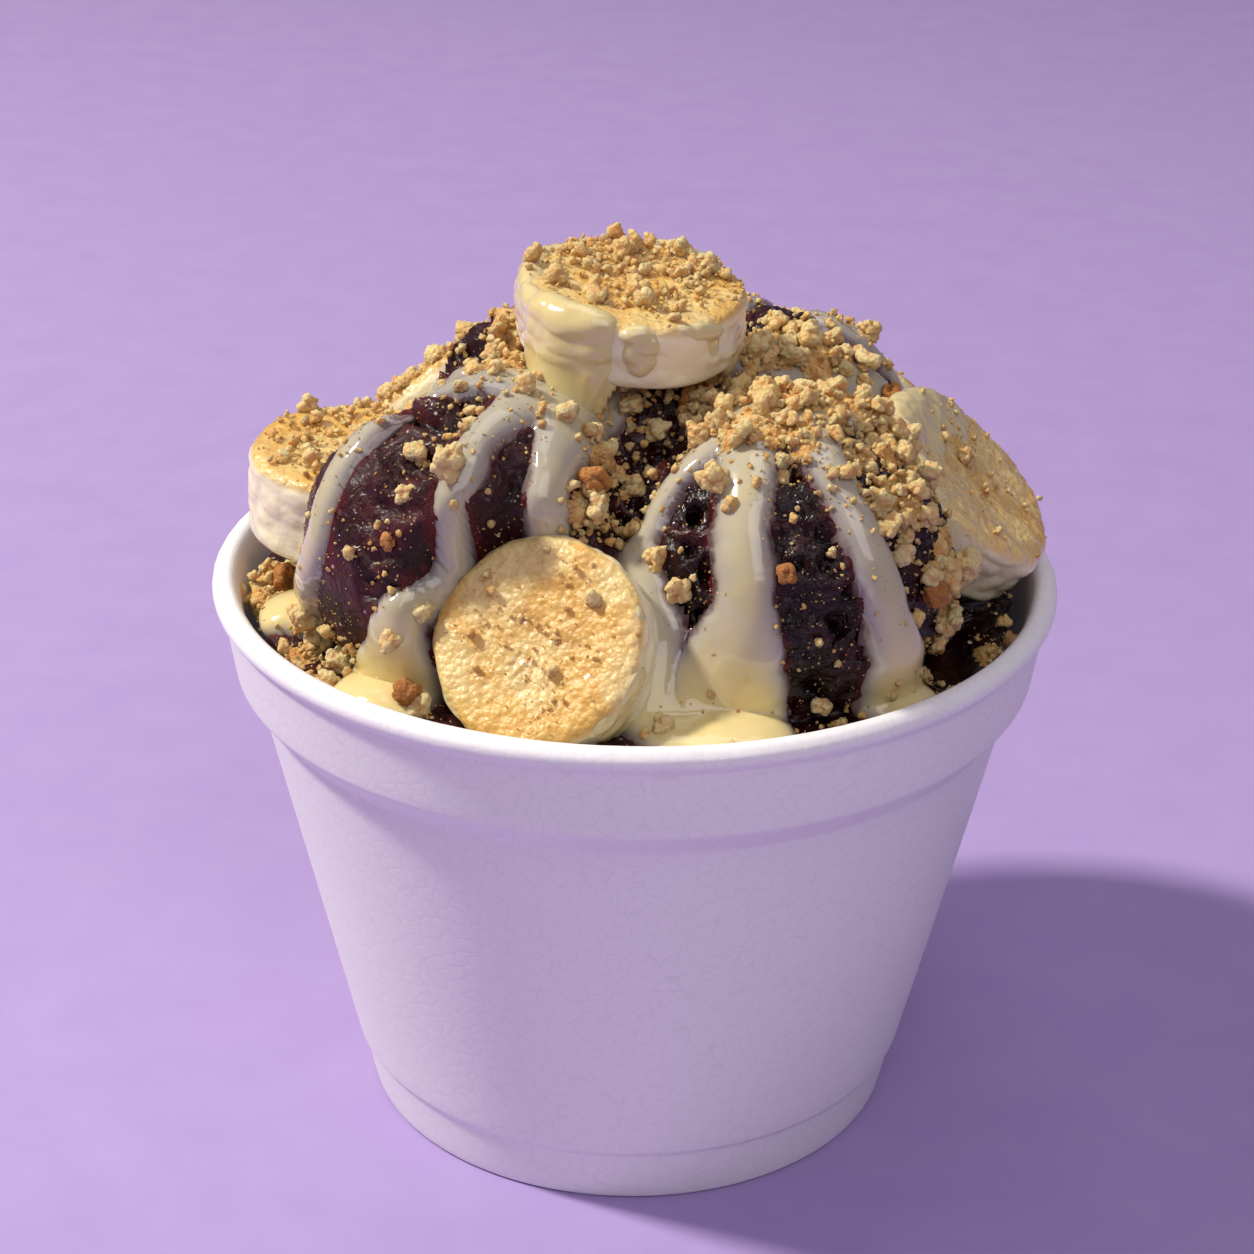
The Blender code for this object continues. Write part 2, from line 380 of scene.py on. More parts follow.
join(foam, shader, {"Base Color": shade.outputs["Color"], "Normal": dents.outputs[0], "Roughness": 0.42})
join(
    foam, shader,
    {"Subsurface Weight": 0.12, "Subsurface Scale": 0.004, "Subsurface Radius": (1.0, 0.9, 0.95)}
)
cup = piece("foam_cup", cup_all, cup_faces, foam)
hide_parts("cup")

# %% [markdown]
# ## Where the banana slices are
#
# Each slice is a CAD node. Its middle is the mean of its corners, and the direction it faces
# is the one in which the corners spread least, which numpy finds as a singular vector.

# %% Measure the slices
HEART = np.array([0.0, 0.0, 45.0])


def measure_slice(node):
    """Middle of the cut face, outward normal, radius and thickness, in millimetres."""
    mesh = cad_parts[node].data
    corners = np.empty(len(mesh.vertices) * 3)
    mesh.vertices.foreach_get("co", corners)
    corners = corners.reshape(-1, 3) / MM
    middle = (corners.min(0) + corners.max(0)) / 2
    normal = np.linalg.svd(corners - corners.mean(0), full_matrices=False)[2][2]
    normal = normal * np.sign(normal @ (middle - HEART))
    along = (corners - middle) @ normal
    middle = middle + normal * (along.max() + along.min()) / 2
    aside = np.linalg.norm(corners - middle - np.outer((corners - middle) @ normal, normal), axis=1)
    thick = along.max() - along.min()
    return middle + normal * thick / 2, normal, aside.max(), thick


SLICES = {node: measure_slice(node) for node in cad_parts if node.startswith("banana")}
for node, (face, normal, radius, thick) in SLICES.items():
    print(
        node, "face at", face.round(1), "faces", normal.round(2), "radius", round(radius, 1), "thick",
        round(thick, 1)
    )

# %% [markdown]
# ## The heap of acai
#
# Every point of the heap can be seen from a point inside the cup, so the whole body is one
# surface: how far it reaches in each direction from there. Where a ray leaves the furthest
# scoop is the reach, creases between scoops are softened, the cup's wall and floor hold it
# in, and a slice pressed into it pushes it back. A scoop drags and tears frozen acai, so the
# skin has folds, flakes and pits, which are deepest on the right-hand scoop.

# %% How far the heap reaches in a direction
SCOOPS = [
    ((-20.8, -17.4, 89.2), 22.4),
    ((19.5, -22.0, 87.5), 21.5),
    ((0.0, 2.0, 91.0), 22.0),
    ((-16.0, 5.0, 95.0), 17.5),
    ((17.0, 16.0, 88.0), 21.5),
    ((-18.0, 17.0, 82.0), 19.0),
]
CORE = ((0.0, 0.0, 66.0), (45.0, 45.0, 38.0))
FILL_TOP = 76.0
POCKET = ((44.0, -20.0, 77.0), (9.0, 11.0, 10.0))


def reach_of_ball(ways, centre, radii):
    """Where a ray from the heart leaves an ellipsoid; it dips smoothly where the ray misses."""
    radii = np.broadcast_to(radii, 3).astype(float)
    offset, scaled = (np.array(centre) - HEART) / radii, ways / radii
    square = np.sum(scaled**2, -1)
    half = scaled @ offset
    inside_root = half**2 - square * (offset @ offset - 1)
    return (half + np.sign(inside_root) * np.sqrt(np.abs(inside_root))) / square


def press(ways, reach, depth_share, bank, slices):
    """Pushes the surface back where a slice sits: under it flat, round it a soft bank."""
    for face, normal, radius, thick in slices:
        toward = ways @ normal
        for _ in range(3):
            point = HEART + ways * reach[..., None] - face
            above = point @ normal
            aside = np.linalg.norm(point - above[..., None] * normal, axis=-1)
            allowed = -thick * depth_share + bank * np.maximum(0, aside - radius + 1.2) ** 1.5
            too_far = np.where(toward > 0.15, np.maximum(0, above - allowed), 0)
            reach = reach - too_far / np.maximum(toward, 0.15)
    return reach


def bare_reach(ways):
    """Reach of the scoops, the core and the fill in millimetres, held in by the cup."""
    reach = reach_of_ball(ways, *CORE)
    for centre, radius in SCOOPS:
        reach = soft_max(reach, reach_of_ball(ways, centre, radius), 3.0)
    level = (FILL_TOP - HEART[2]) / np.maximum(ways[..., 2], 0.05)
    reach = soft_max(reach, np.where(ways[..., 2] > 0.1, level, 999.0), 2.0)
    pocket = np.array(POCKET[0]) - HEART
    near = np.linalg.norm((HEART + ways * reach[..., None] - POCKET[0]) / POCKET[1], axis=-1)
    reach = reach - 9.0 * smoothstep(1.15, 0.45, near)
    flat = np.hypot(ways[..., 0], ways[..., 1])
    slope = (52.6 - 34.6) / (TOP - 7.0)
    wall = (34.6 + slope * (HEART[2] - 7.0)) / np.maximum(flat - slope * ways[..., 2], 1e-3)
    floor = np.where(ways[..., 2] < -0.05, (HEART[2] - 6.3) / np.maximum(-ways[..., 2], 0.05), 999.0)
    return np.minimum(np.minimum(reach, wall), floor)


# %% The grid of directions
HEAP_ROWS, FINE_ROWS, HEAP_COLUMNS = 206, 192, 464
upper = np.linspace(0.35, 66, FINE_ROWS)
lower = np.linspace(66, 179, HEAP_ROWS - FINE_ROWS + 1)[1:]
polar = np.radians(np.concatenate([upper, lower]))[:, None]
azimuth = np.linspace(0, 2 * np.pi, HEAP_COLUMNS, endpoint=False)[None, :]
WAYS = np.stack(
    [np.sin(polar) * np.cos(azimuth), np.sin(polar) * np.sin(azimuth), np.cos(polar) + 0 * azimuth], -1
)
smooth_reach = press(WAYS, bare_reach(WAYS), 0.55, 1.0, SLICES.values())
base = HEART + WAYS * smooth_reach[..., None]
print("heap rises to", base[..., 2].max().round(1), "mm")


def grid_normals(points):
    """Outward normals of a closed ring grid, from the steps along and across it."""
    across = np.roll(points, -1, 1) - np.roll(points, 1, 1)
    down = np.gradient(points, axis=0)
    return unit(np.cross(down, across))


# %% The torn skin
def skin_relief(points):
    """Relief in millimetres: soft swells, with torn flakes on the left and round pits on the right."""
    swell = 0.7 * fractal(points, 9.0, 21, 2)
    turned = points @ np.array([[0.8, 0.5, -0.3], [-0.4, 0.9, 0.2], [0.3, 0.1, 1.0]])
    bent = turned + 1.6 * np.stack([noise(points, 5.0, 25 + k) for k in range(3)], -1)
    flake_gap, flake = cells(bent * [0.62, 1.0, 1.3], 4.6, 31)
    fold = 1.5 * (flake - 0.5) - 1.6 * smoothstep(0.42, 0.8, flake_gap)
    torn = smoothstep(-0.3, 0.25, noise(points, 13.0, 41) + 0.5 * smoothstep(90, 104, points[..., 2]) - 0.15)
    gap, number = cells(bent, 5.0, 51)
    pit = -3.4 * smoothstep(0.52, 0.2, gap) * (number > 0.4)
    small_gap, small_number = cells(points, 2.4, 61)
    bubble = -1.2 * smoothstep(0.5, 0.2, small_gap) * (small_number > 0.45)
    knob_gap, knob = cells(points, 2.2, 66)
    knobs = 1.0 * smoothstep(0.75, 0.1, knob_gap) * (0.4 + 0.6 * knob) - 0.4
    wet_shaded_side = smoothstep(-6, 6, points[..., 0] + 4 * noise(points, 8.0, 43))
    crumble = 0.14 * noise(points, 1.3, 71)
    left = torn * fold + 0.5 * bubble * torn
    right = 0.4 * fold + pit + bubble + knobs
    return swell + left * (1 - wet_shaded_side) + right * wet_shaded_side + crumble, wet_shaded_side


relief, wet_shaded_side = skin_relief(base)
above_rim = smoothstep(70, 76, base[..., 2])
wall_gap = 53.4 - np.hypot(base[..., 0], base[..., 1])
relief = relief * above_rim * (0.25 + 0.75 * smoothstep(0, 4, wall_gap))
relief = relief - 0.3 * above_rim
print("skin relief from", relief.min().round(1), "to", relief.max().round(1), "mm")

# %% [markdown]
# ## Condensed milk
#
# Condensed milk is thick: it runs in tongues with rounded edges, swells into a bulb where a
# tongue stops, and gathers in pools at the rim. Each run is a line of places on the heap with
# a half-width and a depth at each. The milk's thickness at any point is a half-round across
# the nearest run, the runs are blended together, and the surface is the heap plus that
# thickness. It dives under the heap where there is no milk, so the edge is a clean line.

# %% The runs of milk: x, y, z, half-width and depth in millimetres at each place
RUNS = {
    "outer_left": [
        (-10, -13, 108.5, 6.0, 1.4), (-15, -15, 110.5, 5.0, 1.3), (-20, -17, 111.5, 4.5, 1.2),
        (-25, -18.5, 111, 4.0, 1.2), (-30, -20, 109.5, 3.6, 1.3), (-34.5, -22.5, 106.5, 3.0, 1.4),
        (-37, -25, 102.5, 2.6, 1.5), (-39, -27, 98, 2.4, 1.6), (-40, -28, 93.5, 2.4, 1.7),
        (-42, -26, 88, 2.8, 2.0), (-43.5, -20, 82, 3.8, 2.6), (-45, -14, 77.5, 5.4, 3.4)
    ],
    "left_tongue": [
        (-12, -20, 110, 4.5, 1.3), (-16, -25, 109.5, 3.0, 1.3), (-19.5, -29.5, 108, 2.4, 1.3),
        (-21.5, -33, 105.5, 2.2, 1.4), (-23.5, -36, 101.5, 2.3, 1.5), (-25.5, -38, 97, 2.4, 1.6),
        (-27.5, -38.5, 92, 2.6, 1.8), (-29.5, -38, 86, 3.6, 2.1), (-31.5, -37.5, 80, 5.6, 2.6),
        (-33, -38, 77, 6.8, 3.2)
    ],
    "middle_left": [
        (-5, -9, 109.5, 6.0, 1.5), (-8, -18, 108, 5.6, 1.5), (-9, -24, 107, 4.8, 1.5),
        (-10, -29, 105, 3.5, 1.5), (-11, -33, 101.5, 3.0, 1.6), (-12.5, -36, 99, 3.0, 1.6),
        (-14, -39, 92, 3.6, 1.5)
    ],
    "crest_right": [
        (11, -13, 106, 4.5, 1.3), (14, -19, 108, 6.0, 1.5), (21, -20, 109, 6.0, 1.4),
        (26, -14, 106, 4.0, 1.2)
    ],
    "right_fork": [
        (13, -21, 108, 4.2, 1.3), (8, -26, 105, 2.6, 1.3), (4, -28.5, 101.5, 2.2, 1.2),
        (2, -30, 97, 2.2, 1.3), (0.5, -32, 93, 2.6, 1.4), (2, -37, 86, 3.4, 1.4)
    ],
    "centre_tongue": [
        (13, -21, 108.5, 5.5, 1.4), (13.5, -26, 107.5, 4.4, 1.5), (13.5, -31.5, 105.5, 3.6, 1.6),
        (13, -37, 101, 3.3, 1.7), (13, -40, 97, 3.4, 1.7), (13.8, -42.5, 90, 3.9, 1.8),
        (13, -43, 85, 6.0, 2.0), (12, -45, 80, 8.5, 2.4), (12, -47, 77, 9.5, 2.6)
    ],
    "right_tongue": [
        (21, -23, 109, 5.0, 1.3), (21.5, -27, 108, 3.6, 1.3), (24.5, -33, 105, 2.9, 1.3),
        (27, -36.5, 101.5, 2.7, 1.4), (29.5, -39, 96, 2.8, 1.5), (31.5, -40, 90, 3.3, 1.7),
        (34, -39.5, 83, 4.4, 2.2), (36, -38.5, 77, 5.2, 2.6)
    ],
    "far_right": [
        (8, -2, 110, 3.5, 1.2), (19, 3, 108, 3.8, 1.2), (27, 6, 105, 3.4, 1.3), (33, 9, 100, 3.0, 1.4),
        (37, 8, 96, 3.0, 1.5)
    ],
    "right_shoulder": [(24, -14, 106, 3.6, 1.2), (30, -12, 102, 3.0, 1.2), (35, -8, 97, 2.6, 1.2)],
    "behind_front": [(3, -38, 86, 3.0, 1.4), (2, -44, 80, 4.2, 2.0), (6, -48, 77, 5.0, 2.2)],
    "back_a": [
        (-3, 8, 111, 5.0, 1.3), (-6, 20, 106, 3.4, 1.3), (-4, 31, 98, 2.6, 1.4),
        (-20, 36, 88, 3.0, 1.5), (-22, 43, 78, 5.5, 2.6)
    ],
    "back_b": [
        (6, 10, 109, 4.5, 1.3), (14, 22, 109, 3.4, 1.3), (18, 33, 101, 2.6, 1.4),
        (18, 40, 90, 2.8, 1.6), (17, 46, 79, 5.5, 2.6)
    ],
    "back_c": [
        (-26, 12, 104, 3.0, 1.2), (-31, 15, 98, 2.8, 1.3), (-36, 20, 88, 2.6, 1.5),
        (-42, 26, 77, 4.6, 2.6)
    ],
    "back_d": [
        (26, 18, 107, 3.6, 1.3), (36, 18, 95, 2.6, 1.4), (43, 20, 84, 2.8, 1.6), (47, 20, 77, 4.6, 2.4)
    ],
}


def along_run(run, steps=48):
    """A run as closely spaced places on the heap: a smooth curve through its corners."""
    corners = np.array(run, float)
    padded = np.vstack([2 * corners[0] - corners[1], corners, 2 * corners[-1] - corners[-2]])
    t = np.linspace(0, len(corners) - 1 - 1e-6, steps)
    i = t.astype(int)
    f = (t - i)[:, None]
    a, b, c, d = padded[i], padded[i + 1], padded[i + 2], padded[i + 3]
    curve = 0.5 * (2 * b + (c - a) * f + (2 * a - 5 * b + 4 * c - d) * f**2 + (3 * b - a - 3 * c + d) * f**3)
    ways = unit(curve[:, :3] - HEART)
    nearest = [np.argmax((WAYS[:upper_rows] @ way).ravel()) for way in ways]
    on_heap = milk_reach.ravel()[nearest]
    return HEART + ways * on_heap[:, None], curve[:, 3], curve[:, 4]


def milk_depth(points, runs):
    """Thickness of milk in millimetres at points of the heap, and below 0 beyond its edge."""
    wobble = 1 + 0.16 * noise(points, 7.0, 81) + 0.08 * noise(points, 3.0, 82)
    depth = np.full(points.shape[:-1], -3.0)
    for run in runs:
        places, widths, heights = along_run(run)
        for place, width, height in zip(places, widths, heights):
            far = np.linalg.norm(points - place, axis=-1) / wobble
            share = far / width
            dome = height * np.sqrt(np.maximum(0, 1 - share**2))
            depth_here = np.where(share < 1, dome, np.maximum(-3.0, -(far - width) * 1.2))
            depth = np.maximum(depth, depth_here)
    return depth


def settled(reach, times):
    """Reach averaged with its neighbours several times, as thick milk rounds over creases."""
    for _ in range(times):
        padded = np.vstack([reach[:1], reach, reach[-1:]])
        reach = (padded[:-2] + padded[2:] + np.roll(reach, 1, 1) + np.roll(reach, -1, 1) + 2 * reach) / 6
    return reach


upper_rows = 196
milk_reach = settled(np.maximum(settled(smooth_reach, 40), smooth_reach - 0.5), 8)[:upper_rows]
milk_base = HEART + WAYS[:upper_rows] * milk_reach[..., None]
depth = milk_depth(milk_base, RUNS.values())
calm = HEART + WAYS[:upper_rows] * settled(milk_reach, 20)[..., None]
milk_ways = unit(0.6 * grid_normals(calm) + 0.4 * WAYS[:upper_rows])
under_milk = np.zeros(smooth_reach.shape)
under_milk[:upper_rows] = smoothstep(-0.4, 0.8, depth)
heap_reach = smooth_reach + relief * (1 - 0.85 * under_milk) - 0.5 * under_milk
print(
    "milk covers", round(100 * float((depth > 0).mean())), "% of the grid, deepest",
    depth.max().round(1), "mm"
)

# %% [markdown]
# ## The skin of the acai
#
# Frozen acai is nearly black, with a purple bloom of frost where it was scraped, wet maroon
# edges where it is melting into the milk, and ice crystals that glint. Its pits are painted
# darker as painted shade, where the light doesn't reach them. The right-hand scoop is painted
# darker too, partly because it is wet and partly as painted shade away from the key light.

# %% Frozen acai
acai, shader = new_material("frozen acai pulp")
place = add(acai, "TexCoord")
melt = add(acai, "Attribute", attribute_name="melt")
pit_shade = add(acai, "Attribute", attribute_name="pit_shade")
cloud = add(
    acai, "TexNoise",
    {"Vector": place.outputs["Object"], "Scale": 1 / 0.006, "Detail": 6.0, "Roughness": 0.65}
)
pulp = add(
    acai, "ValToRGB", {"Fac": cloud.outputs["Fac"]},
    stops=[(0.3, "#180607"), (0.52, "#360f12"), (0.75, "#5b2227")]
)
# The soaked value marks the right-hand side: its darker pulp is partly wet acai and partly painted shade away
# from the key light.
soaked = add(acai, "Attribute", attribute_name="soaked")
wet_shaded_pulp = add(
    acai, "ValToRGB", {"Fac": cloud.outputs["Fac"]},
    stops=[(0.3, "#0e0303"), (0.52, "#1f0809"), (0.75, "#431417")]
)
both = add(
    acai, "Mix", {0: soaked.outputs["Fac"], 6: pulp.outputs["Color"], 7: wet_shaded_pulp.outputs["Color"]},
    data_type="RGBA"
)
# Painted shade: the pits are mixed towards near-black.
deep = add(acai, "Mix", {0: pit_shade.outputs["Fac"], 6: both.outputs[2], 7: srgb("#0d0304")}, data_type="RGBA")
juice = add(acai, "Mix", {0: melt.outputs["Fac"], 6: deep.outputs[2], 7: srgb("#5e1418")}, data_type="RGBA")
crystal = add(acai, "TexVoronoi", {"Vector": place.outputs["Object"], "Scale": 1 / 0.0007})
pick = add(acai, "SeparateColor", {"Color": crystal.outputs["Color"]})
rare = add(acai, "MapRange", {"Value": pick.outputs[0], "From Min": 0.985, "From Max": 0.99})
dot = add(acai, "MapRange", {"Value": crystal.outputs["Distance"], "From Min": 0.42, "From Max": 0.25})
frost = add(acai, "Math", {0: rare.outputs[0], 1: dot.outputs[0]}, operation="MULTIPLY")
frost_share = add(acai, "Math", {0: frost.outputs[0], 1: 0.75}, operation="MULTIPLY")
skin = add(
    acai, "Mix", {0: frost_share.outputs[0], 6: juice.outputs[2], 7: srgb("#d9c3c6")}, data_type="RGBA"
)
grit = add(
    acai, "TexNoise",
    {"Vector": place.outputs["Object"], "Scale": 1 / 0.0011, "Detail": 5.0, "Roughness": 0.7}
)
ice = add(
    acai, "Math", {0: crystal.outputs["Distance"], 1: -0.5, 2: grit.outputs["Fac"]},
    operation="MULTIPLY_ADD"
)
lumps = add(
    acai, "TexNoise",
    {
        "Vector": place.outputs["Object"], "Scale": 1 / 0.0021, "Detail": 4.0, "Roughness": 0.55,
        "Distortion": 0.6
    }
)
uneven = add(acai, "Bump", {"Height": lumps.outputs["Fac"], "Strength": 0.8, "Distance": 0.0011})
bumps = add(
    acai, "Bump",
    {"Height": ice.outputs[0], "Normal": uneven.outputs[0], "Strength": 0.25, "Distance": 0.0003}
)
wet = add(acai, "MapRange", {"Value": soaked.outputs["Fac"], "To Min": 0.5, "To Max": 0.22})
join(acai, shader, {"Base Color": skin.outputs[2], "Normal": bumps.outputs[0], "Roughness": wet.outputs[0]})
join(
    acai, shader,
    {"Coat Weight": 0.35, "Coat Roughness": 0.05, "Specular IOR Level": 0.15, "Coat Normal": bumps.outputs[0]}
)

# %% The heap as a closed piece
heap_points = HEART + WAYS * heap_reach[..., None]
top_point = HEART + np.array([0, 0, heap_reach[0].mean()])
bottom_point = HEART - np.array([0, 0, heap_reach[-1].mean()])
heap_all, heap_faces = capped(heap_points, top_point, bottom_point)
full_depth = np.full(smooth_reach.shape, -3.0)
full_depth[:upper_rows] = depth
melt_value = np.append(smoothstep(-1.1, 0.1, full_depth).ravel(), [0, 0])
# Painted shade in the pits: how far the skin lies below its local mean.
local_mean = settled(relief, 12)
pit_shade_value = np.append(smoothstep(0.0, -1.1, relief - local_mean).ravel(), [0, 0])
# Right-hand side: wet, and painted darker as shade.
wet_and_shaded_value = np.append(wet_shaded_side.ravel(), [0, 0])
heap = piece(
    "acai_heap",
    heap_all,
    heap_faces,
    acai,
    {"melt": melt_value, "pit_shade": pit_shade_value, "soaked": wet_and_shaded_value},
)
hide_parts("acai")

# %% [markdown]
# ## The milk as a closed shell
#
# The part of the milk grid that is above the heap, and a little beyond, is kept. Its under
# side is the same grid pushed down into the heap, and a strip joins the two round the edge,
# so it is a closed body as thick milk is.

# %% Trim a grid, give it an under side and close its edge
def closed_shell(upper_side, under_side, keep, faces):
    """Points and faces of a shell: kept faces above, the same turned over below, and a rim."""
    faces = faces[keep[faces].any(axis=1)]
    edges = np.concatenate([faces[:, [i, (i + 1) % 4]] for i in range(4)])
    size = len(upper_side)
    forward = edges[:, 0].astype(np.int64) * size + edges[:, 1]
    backward = edges[:, 1].astype(np.int64) * size + edges[:, 0]
    rim = edges[~np.isin(forward, backward)]
    walls = np.stack([rim[:, 1], rim[:, 0], rim[:, 0] + size, rim[:, 1] + size], -1)
    every = np.concatenate([faces, faces[:, ::-1] + size, walls])
    used, fresh = np.unique(every, return_inverse=True)
    return np.vstack([upper_side, under_side])[used], fresh.reshape(every.shape), used % size


def milk_shell(points, normals, depth, wrap=True):
    """The shell of milk over a grid of points, for a depth at each."""
    ripple = 0.10 * noise(points, 6.5, 91) + 0.05 * noise(points, 2.6, 92)
    surface = points + normals * (depth + ripple * smoothstep(0.2, 1.2, depth))[..., None]
    under = points - normals * 1.4
    faces = grid_faces(points.shape[0], points.shape[1], wrap)
    return closed_shell(surface.reshape(-1, 3), under.reshape(-1, 3), depth.ravel() > -0.5, faces)


milk, shader = new_material("sweetened condensed milk")
amount = add(milk, "Attribute", attribute_name="amount")
pooled = add(milk, "Attribute", attribute_name="pooled")
place = add(milk, "TexCoord")
streak = add(
    milk, "TexNoise",
    {"Vector": place.outputs["Object"], "Scale": 1 / 0.007, "Detail": 3.0, "Distortion": 1.2}
)
body = add(
    milk, "Math", {0: streak.outputs["Fac"], 1: 0.35, 2: amount.outputs["Fac"]},
    operation="MULTIPLY_ADD"
)
tinted = add(
    milk,
    "ValToRGB",
    {"Fac": body.outputs[0]},
    stops=[(0.08, "#4a151b"), (0.18, "#7b6864"), (0.4, "#a49d93"), (0.68, "#bab29a"), (1.0, "#d1c28c")],
)
cream = add(
    milk, "Mix", {0: pooled.outputs["Fac"], 6: tinted.outputs["Color"], 7: srgb("#e8d493")},
    data_type="RGBA"
)
join(
    milk, shader,
    {"Base Color": cream.outputs[2], "Roughness": 0.12, "Coat Weight": 0.8, "Coat Roughness": 0.03}
)
join(
    milk, shader,
    {"Subsurface Weight": 0.25, "Subsurface Scale": 0.002, "Subsurface Radius": (1.0, 0.8, 0.5)}
)

milk_points, milk_faces, milk_source = milk_shell(milk_base, milk_ways, depth)
source_depth = depth.ravel()[milk_source]
source_height = milk_base[..., 2].ravel()[milk_source]
amount_value = np.clip(source_depth / 2.6, 0, 1)
pool_value = 0.85 * smoothstep(90, 78, source_height) * smoothstep(0.6, 2.2, source_depth)
milk_piece = piece(
    "condensed_milk", milk_points, milk_faces, milk, {"amount": amount_value, "pooled": pool_value}
)

# %% [markdown]
# ## Banana slices
#
# A cut banana face shows three seed chambers that meet in the middle, and its wet flesh is
# full of tiny grains that glisten. Its side is pale and splits into short blocks along the
# fibres. Syrupy milk has soaked golden patches into the faces. A slice is a turned profile
# again: out across the face, over a worn edge, down the side and back under.

# %% One slice as a grid
def slice_grid(face, normal, radius, thick, columns=190):
    """A slice as a ring grid, with each point's share of radius and depth below the face."""
    side = unit(np.cross(normal, [0.0, 0.0, 1.0]))
    other = np.cross(normal, side)
    edge = 1.5
    out = np.linspace(0.02, 1, 34) * (radius - edge)
    bend = np.linspace(0, np.pi / 2, 9)[1:]
    over = np.stack([radius - edge + edge * np.sin(bend), -edge + edge * np.cos(bend)], -1)
    down = np.stack([np.full(22, radius), -np.linspace(edge, thick - edge, 24)[1:-1]], -1)
    turn_under = np.stack([radius - edge + edge * np.cos(bend), -thick + edge - edge * np.sin(bend)], -1)
    back = np.stack([np.linspace(radius - edge, 0.3, 8)[1:], np.full(7, -thick)], -1)
    line = np.vstack([np.stack([out, 0 * out], -1), over, down, turn_under, back])
    around = np.linspace(0, 2 * np.pi, columns, endpoint=False)
    rib = 1 - 0.0125 * (1 - np.cos(5 * around))
    across = line[:, :1] * rib
    flat = across[..., None] * (np.cos(around)[:, None] * side + np.sin(around)[:, None] * other)
    points = face + flat + line[:, 1][:, None, None] * normal
    return points, across / radius, np.repeat(line[:, 1:], columns, 1), around


def slice_relief(points, share, drop, around, salt):
    """Grains and dips on the face, fibres and blocks on the side, seeds in three chambers."""
    on_face = smoothstep(-1.3, -0.2, drop)
    grains = 0.15 * fractal(points, 2.4, salt, 3) + 0.12 * noise(points, 0.8, salt + 5)
    dip = -0.5 * smoothstep(
        0.75, 0.1, share
    ) + 0.25 * smoothstep(0.5, 0.8, share) * smoothstep(1, 0.85, share)
    ring = np.stack([around * 7.5 + 0 * drop, drop * 0.35, 0 * drop + salt], -1)
    fibre = 0.20 * noise(ring, 1.1, salt + 7)
    blocks, _ = cells(np.stack([around * 7.0 + 0 * drop, drop * 0.9, 0 * drop], -1), 2.1, salt + 9)
    wall = fibre + 0.35 * smoothstep(0.75, 0.25, blocks) - 0.25
    arm = np.cos(1.5 * ((around + salt) % (2 * np.pi / 3)) * 2 - np.pi)
    seed_gap, seed_pick = cells(points, 1.5, salt + 11)
    chamber = smoothstep(0.1, 0.16, share) * smoothstep(0.42, 0.3, share) * smoothstep(0.2, 0.9, -arm)
    seed = smoothstep(0.42, 0.25, seed_gap) * (seed_pick > 0.45) * chamber
    lift = on_face * (grains + dip - 0.35 * seed) + (1 - on_face) * wall
    return lift, on_face, np.maximum(seed, 0.35 * chamber * on_face)


banana, shader = new_material("ripe banana flesh")
place = add(banana, "TexCoord")
cut = add(banana, "Attribute", attribute_name="cut")
seeds = add(banana, "Attribute", attribute_name="seeds")
syrup = add(banana, "Attribute", attribute_name="syrup")
grain = add(
    banana, "TexNoise",
    {"Vector": place.outputs["Object"], "Scale": 1 / 0.0016, "Detail": 5.0, "Roughness": 0.7}
)
flesh = add(banana, "ValToRGB", {"Fac": grain.outputs["Fac"]}, stops=[(0.3, "#e6c67a"), (0.7, "#f2dc9c")])
golden = add(banana, "ValToRGB", {"Fac": grain.outputs["Fac"]}, stops=[(0.3, "#d69a38"), (0.7, "#e9b858")])
side_tone = add(banana, "ValToRGB", {"Fac": grain.outputs["Fac"]}, stops=[(0.3, "#f4e6b6"), (0.7, "#fbf2d2")])
soaked = add(
    banana, "Mix", {0: syrup.outputs["Fac"], 6: flesh.outputs["Color"], 7: golden.outputs["Color"]},
    data_type="RGBA"
)
seeded = add(
    banana, "Mix", {0: seeds.outputs["Fac"], 6: soaked.outputs[2], 7: srgb("#a9793f")}, data_type="RGBA"
)
whole = add(
    banana, "Mix", {0: cut.outputs["Fac"], 6: side_tone.outputs["Color"], 7: seeded.outputs[2]},
    data_type="RGBA"
)
dew = add(banana, "TexVoronoi", {"Vector": place.outputs["Object"], "Scale": 1 / 0.0008})
pulp_bump = add(
    banana, "Math", {0: dew.outputs["Distance"], 1: -0.6, 2: grain.outputs["Fac"]},
    operation="MULTIPLY_ADD"
)
cut_strength = add(banana, "MapRange", {"Value": cut.outputs["Fac"], "To Min": 0.25, "To Max": 0.75})
beads = add(
    banana, "Bump",
    {"Height": pulp_bump.outputs[0], "Strength": cut_strength.outputs[0], "Distance": 0.0004}
)
shine = add(banana, "MapRange", {"Value": cut.outputs["Fac"], "To Min": 0.45, "To Max": 0.22})
join(
    banana, shader,
    {"Base Color": whole.outputs[2], "Normal": beads.outputs[0], "Roughness": shine.outputs[0]}
)
join(
    banana, shader,
    {"Subsurface Weight": 0.3, "Subsurface Scale": 0.003, "Subsurface Radius": (1.0, 0.75, 0.4)}
)
join(banana, shader, {"Coat Weight": 0.6, "Coat Roughness": 0.06})

